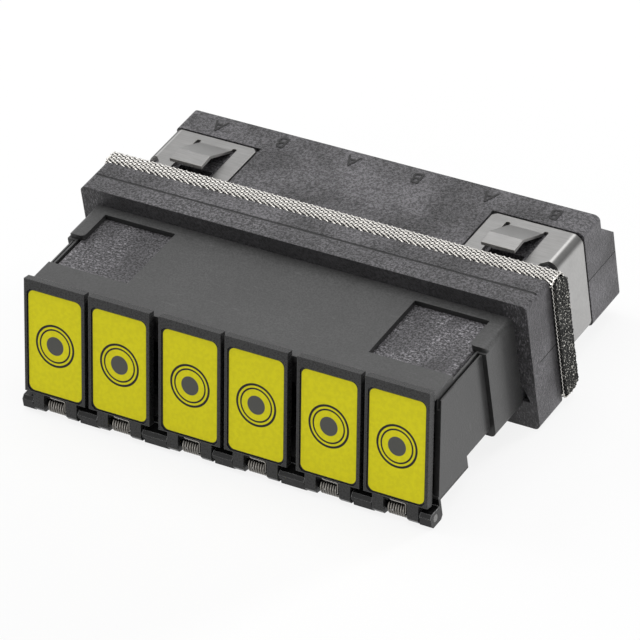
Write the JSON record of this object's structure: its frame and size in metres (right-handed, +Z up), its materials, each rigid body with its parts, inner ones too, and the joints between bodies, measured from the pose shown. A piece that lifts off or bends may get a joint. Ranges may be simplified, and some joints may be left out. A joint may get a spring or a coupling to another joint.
{
  "type": "fibre optic adapter",
  "caption": "Panel-mount LC fibre adapter: a row of ports behind spring-shut flip doors, with a flange, shielding gasket, snap clips and open rear ports.",
  "frame": {"origin": "centre of the flange's rear face, where the panel's gasket sits, on the middle of the row of ports", "axes": "+X along the row of ports, +Y from the front doors through the panel to the rear ports, +Z up, on the latch side"},
  "size_m": [0.0424, 0.0305, 0.0124],
  "materials": {
    "housing_plastic": "spark-textured moulding",
    "bezel_plastic": "smooth satin moulding",
    "door_plastic": "satin moulding",
    "label_film": "printed satin film",
    "clip_steel": "rolled and stamped",
    "spring_steel": "drawn wire",
    "pin_steel": "ground",
    "foam": "open cut foam",
    "metal_mesh": "knitted metal-coated thread",
    "ceramic": "polished zirconia"
  },
  "bodies": {
    "housing": {"front_housing": "housing_plastic", "rear_housing": "housing_plastic", "shutter_bezel": "bezel_plastic", "hinge_pin": "pin_steel", "left_clip": "clip_steel", "right_clip": "clip_steel", "gasket_foam": "foam", "gasket_mesh": "metal_mesh", "door_spring_1": "spring_steel", "door_spring_2": "spring_steel", "door_spring_3": "spring_steel", "door_spring_4": "spring_steel", "door_spring_5": "spring_steel", "door_spring_6": "spring_steel", "sleeve_1": "ceramic", "sleeve_2": "ceramic", "sleeve_3": "ceramic", "sleeve_4": "ceramic", "sleeve_5": "ceramic", "sleeve_6": "ceramic"},
    "door_1": {"door_1": "door_plastic", "label_1": "label_film"},
    "door_2": {"door_2": "door_plastic", "label_2": "label_film"},
    "door_3": {"door_3": "door_plastic", "label_3": "label_film"},
    "door_4": {"door_4": "door_plastic", "label_4": "label_film"},
    "door_5": {"door_5": "door_plastic", "label_5": "label_film"},
    "door_6": {"door_6": "door_plastic", "label_6": "label_film"}
  },
  "joints": [
    {"name": "door_1_hinge", "type": "hinge", "parent": "housing", "child": "door_1", "pos_m": [-0.01613, -0.01708, -0.00554], "axis": [1, 0, 0], "range_deg": [0, 100], "stiffness_Nm_per_rad": 0.00005, "springref_deg": -34.38, "deforming": ["door_spring_1"]},
    {"name": "door_2_hinge", "type": "hinge", "parent": "housing", "child": "door_2", "pos_m": [-0.00988, -0.01708, -0.00554], "axis": [1, 0, 0], "range_deg": [0, 100], "stiffness_Nm_per_rad": 0.00005, "springref_deg": -34.38, "deforming": ["door_spring_2"]},
    {"name": "door_3_hinge", "type": "hinge", "parent": "housing", "child": "door_3", "pos_m": [-0.00313, -0.01708, -0.00554], "axis": [1, 0, 0], "range_deg": [0, 100], "stiffness_Nm_per_rad": 0.00005, "springref_deg": -34.38, "deforming": ["door_spring_3"]},
    {"name": "door_4_hinge", "type": "hinge", "parent": "housing", "child": "door_4", "pos_m": [0.00313, -0.01708, -0.00554], "axis": [1, 0, 0], "range_deg": [0, 100], "stiffness_Nm_per_rad": 0.00005, "springref_deg": -34.38, "deforming": ["door_spring_4"]},
    {"name": "door_5_hinge", "type": "hinge", "parent": "housing", "child": "door_5", "pos_m": [0.00988, -0.01708, -0.00554], "axis": [1, 0, 0], "range_deg": [0, 100], "stiffness_Nm_per_rad": 0.00005, "springref_deg": -34.38, "deforming": ["door_spring_5"]},
    {"name": "door_6_hinge", "type": "hinge", "parent": "housing", "child": "door_6", "pos_m": [0.01613, -0.01708, -0.00554], "axis": [1, 0, 0], "range_deg": [0, 100], "stiffness_Nm_per_rad": 0.00005, "springref_deg": -34.38, "deforming": ["door_spring_6"]}
  ]
}
